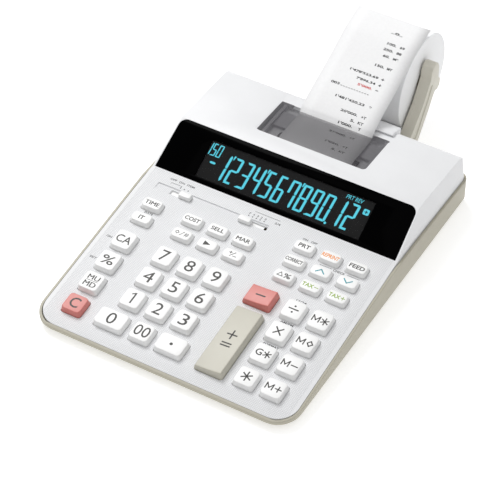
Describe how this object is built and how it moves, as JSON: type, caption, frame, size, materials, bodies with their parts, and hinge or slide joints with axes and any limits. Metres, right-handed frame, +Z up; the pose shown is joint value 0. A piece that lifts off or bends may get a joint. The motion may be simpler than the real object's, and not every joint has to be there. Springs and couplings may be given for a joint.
{
  "type": "desktop printing calculator",
  "caption": "Desktop calculator with a sloped key deck, tilted display window, clear printer cover and a paper roll on a folding rear holder.",
  "frame": {"origin": "centre of the bounding box, on the surface that the feet stand on", "axes": "+X to the right of the person typing, +Y from them towards the paper roll, +Z up"},
  "size_m": [0.204, 0.3648, 0.0819],
  "materials": {
    "case_white": "fine matt white moulding",
    "key_white": "satin white key caps",
    "tray_beige": "satin beige moulding",
    "key_beige": "satin beige key cap",
    "holder_beige": "satin beige moulding",
    "key_pink": "satin salmon pink key caps",
    "window_black": "gloss black window",
    "lcd_panel": "dark display panel with light blue segments",
    "smoke_clear": "smoke-tinted clear lid",
    "dark_plastic": "dark printer frame",
    "grey_plastic": "grey print head carriage",
    "rubber_black": "black rubber",
    "paper": null,
    "circuit_board": "brown paper-based circuit board"
  },
  "bodies": {
    "case": {"top_case": "case_white", "bottom_case": "tray_beige", "display_window": "window_black", "lcd_panel": "lcd_panel", "printer_frame": "dark_plastic", "main_board": "circuit_board", "front_foot": "rubber_black", "rear_foot": "rubber_black", "paper_strip": "paper"},
    "key_0": {"key_0": "key_white"},
    "key_00": {"key_00": "key_white"},
    "key_1": {"key_1": "key_white"},
    "key_2": {"key_2": "key_white"},
    "key_3": {"key_3": "key_white"},
    "key_4": {"key_4": "key_white"},
    "key_5": {"key_5": "key_white"},
    "key_6": {"key_6": "key_white"},
    "key_7": {"key_7": "key_white"},
    "key_8": {"key_8": "key_white"},
    "key_9": {"key_9": "key_white"},
    "key_change": {"key_change": "key_white"},
    "key_clear": {"key_clear": "key_pink"},
    "key_clear_all": {"key_clear_all": "key_white"},
    "key_correct": {"key_correct": "key_white"},
    "key_cost": {"key_cost": "key_white"},
    "key_divide": {"key_divide": "key_white"},
    "key_down": {"key_down": "key_white"},
    "key_feed": {"key_feed": "key_white"},
    "key_grand_total": {"key_grand_total": "key_white"},
    "key_items": {"key_items": "key_white"},
    "key_margin": {"key_margin": "key_white"},
    "key_markup": {"key_markup": "key_white"},
    "key_memory_minus": {"key_memory_minus": "key_white"},
    "key_memory_plus": {"key_memory_plus": "key_white"},
    "key_memory_subtotal": {"key_memory_subtotal": "key_white"},
    "key_memory_total": {"key_memory_total": "key_white"},
    "key_minus": {"key_minus": "key_pink"},
    "key_multiply": {"key_multiply": "key_white"},
    "key_number": {"key_number": "key_white"},
    "key_percent": {"key_percent": "key_white"},
    "key_play": {"key_play": "key_white"},
    "key_plus_equals": {"key_plus_equals": "key_beige"},
    "key_point": {"key_point": "key_white"},
    "key_print": {"key_print": "key_white"},
    "key_reprint": {"key_reprint": "key_white"},
    "key_sell": {"key_sell": "key_white"},
    "key_sign": {"key_sign": "key_white"},
    "key_tax_minus": {"key_tax_minus": "key_white"},
    "key_tax_plus": {"key_tax_plus": "key_white"},
    "key_time": {"key_time": "key_white"},
    "key_total": {"key_total": "key_white"},
    "key_up": {"key_up": "key_white"},
    "switch_knob_left": {"switch_knob_left": "key_white"},
    "switch_knob_right": {"switch_knob_right": "key_white"},
    "printer_cover": {"printer_cover": "smoke_clear"},
    "print_carriage": {"print_carriage": "grey_plastic"},
    "paper_holder": {"paper_holder": "holder_beige"},
    "paper_roll": {"paper_roll": "paper"},
    "platen_roller": {"platen_roller": "rubber_black"},
    "battery_cover": {"battery_cover": "tray_beige"}
  },
  "joints": [
    {"name": "press_0", "type": "slide", "parent": "case", "child": "key_0", "axis": [0, 0.1219, -0.9925], "range_m": [0, 0.002], "stiffness_N_per_m": 250, "springref_m": -0.0006},
    {"name": "press_00", "type": "slide", "parent": "case", "child": "key_00", "axis": [0, 0.1219, -0.9925], "range_m": [0, 0.002], "stiffness_N_per_m": 250, "springref_m": -0.0006},
    {"name": "press_1", "type": "slide", "parent": "case", "child": "key_1", "axis": [0, 0.1219, -0.9925], "range_m": [0, 0.002], "stiffness_N_per_m": 250, "springref_m": -0.0006},
    {"name": "press_2", "type": "slide", "parent": "case", "child": "key_2", "axis": [0, 0.1219, -0.9925], "range_m": [0, 0.002], "stiffness_N_per_m": 250, "springref_m": -0.0006},
    {"name": "press_3", "type": "slide", "parent": "case", "child": "key_3", "axis": [0, 0.1219, -0.9925], "range_m": [0, 0.002], "stiffness_N_per_m": 250, "springref_m": -0.0006},
    {"name": "press_4", "type": "slide", "parent": "case", "child": "key_4", "axis": [0, 0.1219, -0.9925], "range_m": [0, 0.002], "stiffness_N_per_m": 250, "springref_m": -0.0006},
    {"name": "press_5", "type": "slide", "parent": "case", "child": "key_5", "axis": [0, 0.1219, -0.9925], "range_m": [0, 0.002], "stiffness_N_per_m": 250, "springref_m": -0.0006},
    {"name": "press_6", "type": "slide", "parent": "case", "child": "key_6", "axis": [0, 0.1219, -0.9925], "range_m": [0, 0.002], "stiffness_N_per_m": 250, "springref_m": -0.0006},
    {"name": "press_7", "type": "slide", "parent": "case", "child": "key_7", "axis": [0, 0.1219, -0.9925], "range_m": [0, 0.002], "stiffness_N_per_m": 250, "springref_m": -0.0006},
    {"name": "press_8", "type": "slide", "parent": "case", "child": "key_8", "axis": [0, 0.1219, -0.9925], "range_m": [0, 0.002], "stiffness_N_per_m": 250, "springref_m": -0.0006},
    {"name": "press_9", "type": "slide", "parent": "case", "child": "key_9", "axis": [0, 0.1219, -0.9925], "range_m": [0, 0.002], "stiffness_N_per_m": 250, "springref_m": -0.0006},
    {"name": "press_change", "type": "slide", "parent": "case", "child": "key_change", "axis": [0, 0.1219, -0.9925], "range_m": [0, 0.002], "stiffness_N_per_m": 250, "springref_m": -0.0006},
    {"name": "press_clear", "type": "slide", "parent": "case", "child": "key_clear", "axis": [0, 0.1219, -0.9925], "range_m": [0, 0.002], "stiffness_N_per_m": 250, "springref_m": -0.0006},
    {"name": "press_clear_all", "type": "slide", "parent": "case", "child": "key_clear_all", "axis": [0, 0.1219, -0.9925], "range_m": [0, 0.002], "stiffness_N_per_m": 250, "springref_m": -0.0006},
    {"name": "press_correct", "type": "slide", "parent": "case", "child": "key_correct", "axis": [0, 0.1219, -0.9925], "range_m": [0, 0.002], "stiffness_N_per_m": 250, "springref_m": -0.0006},
    {"name": "press_cost", "type": "slide", "parent": "case", "child": "key_cost", "axis": [0, 0.1219, -0.9925], "range_m": [0, 0.002], "stiffness_N_per_m": 250, "springref_m": -0.0006},
    {"name": "press_divide", "type": "slide", "parent": "case", "child": "key_divide", "axis": [0, 0.1219, -0.9925], "range_m": [0, 0.002], "stiffness_N_per_m": 250, "springref_m": -0.0006},
    {"name": "press_down", "type": "slide", "parent": "case", "child": "key_down", "axis": [0, 0.1219, -0.9925], "range_m": [0, 0.002], "stiffness_N_per_m": 250, "springref_m": -0.0006},
    {"name": "press_feed", "type": "slide", "parent": "case", "child": "key_feed", "axis": [0, 0.1219, -0.9925], "range_m": [0, 0.002], "stiffness_N_per_m": 250, "springref_m": -0.0006},
    {"name": "press_grand_total", "type": "slide", "parent": "case", "child": "key_grand_total", "axis": [0, 0.1219, -0.9925], "range_m": [0, 0.002], "stiffness_N_per_m": 250, "springref_m": -0.0006},
    {"name": "press_items", "type": "slide", "parent": "case", "child": "key_items", "axis": [0, 0.1219, -0.9925], "range_m": [0, 0.002], "stiffness_N_per_m": 250, "springref_m": -0.0006},
    {"name": "press_margin", "type": "slide", "parent": "case", "child": "key_margin", "axis": [0, 0.1219, -0.9925], "range_m": [0, 0.002], "stiffness_N_per_m": 250, "springref_m": -0.0006},
    {"name": "press_markup", "type": "slide", "parent": "case", "child": "key_markup", "axis": [0, 0.1219, -0.9925], "range_m": [0, 0.002], "stiffness_N_per_m": 250, "springref_m": -0.0006},
    {"name": "press_memory_minus", "type": "slide", "parent": "case", "child": "key_memory_minus", "axis": [0, 0.1219, -0.9925], "range_m": [0, 0.002], "stiffness_N_per_m": 250, "springref_m": -0.0006},
    {"name": "press_memory_plus", "type": "slide", "parent": "case", "child": "key_memory_plus", "axis": [0, 0.1219, -0.9925], "range_m": [0, 0.002], "stiffness_N_per_m": 250, "springref_m": -0.0006},
    {"name": "press_memory_subtotal", "type": "slide", "parent": "case", "child": "key_memory_subtotal", "axis": [0, 0.1219, -0.9925], "range_m": [0, 0.002], "stiffness_N_per_m": 250, "springref_m": -0.0006},
    {"name": "press_memory_total", "type": "slide", "parent": "case", "child": "key_memory_total", "axis": [0, 0.1219, -0.9925], "range_m": [0, 0.002], "stiffness_N_per_m": 250, "springref_m": -0.0006},
    {"name": "press_minus", "type": "slide", "parent": "case", "child": "key_minus", "axis": [0, 0.1219, -0.9925], "range_m": [0, 0.002], "stiffness_N_per_m": 250, "springref_m": -0.0006},
    {"name": "press_multiply", "type": "slide", "parent": "case", "child": "key_multiply", "axis": [0, 0.1219, -0.9925], "range_m": [0, 0.002], "stiffness_N_per_m": 250, "springref_m": -0.0006},
    {"name": "press_number", "type": "slide", "parent": "case", "child": "key_number", "axis": [0, 0.1219, -0.9925], "range_m": [0, 0.002], "stiffness_N_per_m": 250, "springref_m": -0.0006},
    {"name": "press_percent", "type": "slide", "parent": "case", "child": "key_percent", "axis": [0, 0.1219, -0.9925], "range_m": [0, 0.002], "stiffness_N_per_m": 250, "springref_m": -0.0006},
    {"name": "press_play", "type": "slide", "parent": "case", "child": "key_play", "axis": [0, 0.1219, -0.9925], "range_m": [0, 0.002], "stiffness_N_per_m": 250, "springref_m": -0.0006},
    {"name": "press_plus_equals", "type": "slide", "parent": "case", "child": "key_plus_equals", "axis": [0, 0.1219, -0.9925], "range_m": [0, 0.002], "stiffness_N_per_m": 300, "springref_m": -0.0006},
    {"name": "press_point", "type": "slide", "parent": "case", "child": "key_point", "axis": [0, 0.1219, -0.9925], "range_m": [0, 0.002], "stiffness_N_per_m": 250, "springref_m": -0.0006},
    {"name": "press_print", "type": "slide", "parent": "case", "child": "key_print", "axis": [0, 0.1219, -0.9925], "range_m": [0, 0.002], "stiffness_N_per_m": 250, "springref_m": -0.0006},
    {"name": "press_reprint", "type": "slide", "parent": "case", "child": "key_reprint", "axis": [0, 0.1219, -0.9925], "range_m": [0, 0.002], "stiffness_N_per_m": 250, "springref_m": -0.0006},
    {"name": "press_sell", "type": "slide", "parent": "case", "child": "key_sell", "axis": [0, 0.1219, -0.9925], "range_m": [0, 0.002], "stiffness_N_per_m": 250, "springref_m": -0.0006},
    {"name": "press_sign", "type": "slide", "parent": "case", "child": "key_sign", "axis": [0, 0.1219, -0.9925], "range_m": [0, 0.002], "stiffness_N_per_m": 250, "springref_m": -0.0006},
    {"name": "press_tax_minus", "type": "slide", "parent": "case", "child": "key_tax_minus", "axis": [0, 0.1219, -0.9925], "range_m": [0, 0.002], "stiffness_N_per_m": 250, "springref_m": -0.0006},
    {"name": "press_tax_plus", "type": "slide", "parent": "case", "child": "key_tax_plus", "axis": [0, 0.1219, -0.9925], "range_m": [0, 0.002], "stiffness_N_per_m": 250, "springref_m": -0.0006},
    {"name": "press_time", "type": "slide", "parent": "case", "child": "key_time", "axis": [0, 0.1219, -0.9925], "range_m": [0, 0.002], "stiffness_N_per_m": 250, "springref_m": -0.0006},
    {"name": "press_total", "type": "slide", "parent": "case", "child": "key_total", "axis": [0, 0.1219, -0.9925], "range_m": [0, 0.002], "stiffness_N_per_m": 250, "springref_m": -0.0006},
    {"name": "press_up", "type": "slide", "parent": "case", "child": "key_up", "axis": [0, 0.1219, -0.9925], "range_m": [0, 0.002], "stiffness_N_per_m": 250, "springref_m": -0.0006},
    {"name": "slide_switch_left", "type": "slide", "parent": "case", "child": "switch_knob_left", "axis": [1, 0, 0], "range_m": [-0.008, 0]},
    {"name": "slide_switch_right", "type": "slide", "parent": "case", "child": "switch_knob_right", "axis": [1, 0, 0], "range_m": [0, 0.0116]},
    {"name": "cover_hinge", "type": "hinge", "parent": "case", "child": "printer_cover", "pos_m": [0, 0.06591, 0.04397], "axis": [-1, 0, 0], "range_deg": [0, 75]},
    {"name": "carriage_slide", "type": "slide", "parent": "case", "child": "print_carriage", "axis": [1, 0, 0], "range_m": [0, 0.058]},
    {"name": "holder_hinge", "type": "hinge", "parent": "case", "child": "paper_holder", "pos_m": [0, 0.0933, 0.0095], "axis": [1, 0, 0], "range_deg": [0, 34], "deforming": ["paper_strip"]},
    {"name": "roll_spin", "type": "hinge", "parent": "paper_holder", "child": "paper_roll", "pos_m": [0, 0.1446, 0.0393], "axis": [1, 0, 0], "continuous": true},
    {"name": "platen_spin", "type": "hinge", "parent": "case", "child": "platen_roller", "pos_m": [0, 0.0356, 0.0355], "axis": [1, 0, 0], "continuous": true},
    {"name": "battery_cover_slide", "type": "slide", "parent": "case", "child": "battery_cover", "axis": [0, 1, 0], "range_m": [0, 0.05]}
  ],
  "couplings": [
    {"joint": "platen_spin", "follows": "roll_spin", "ratio": 5.8154}
  ]
}
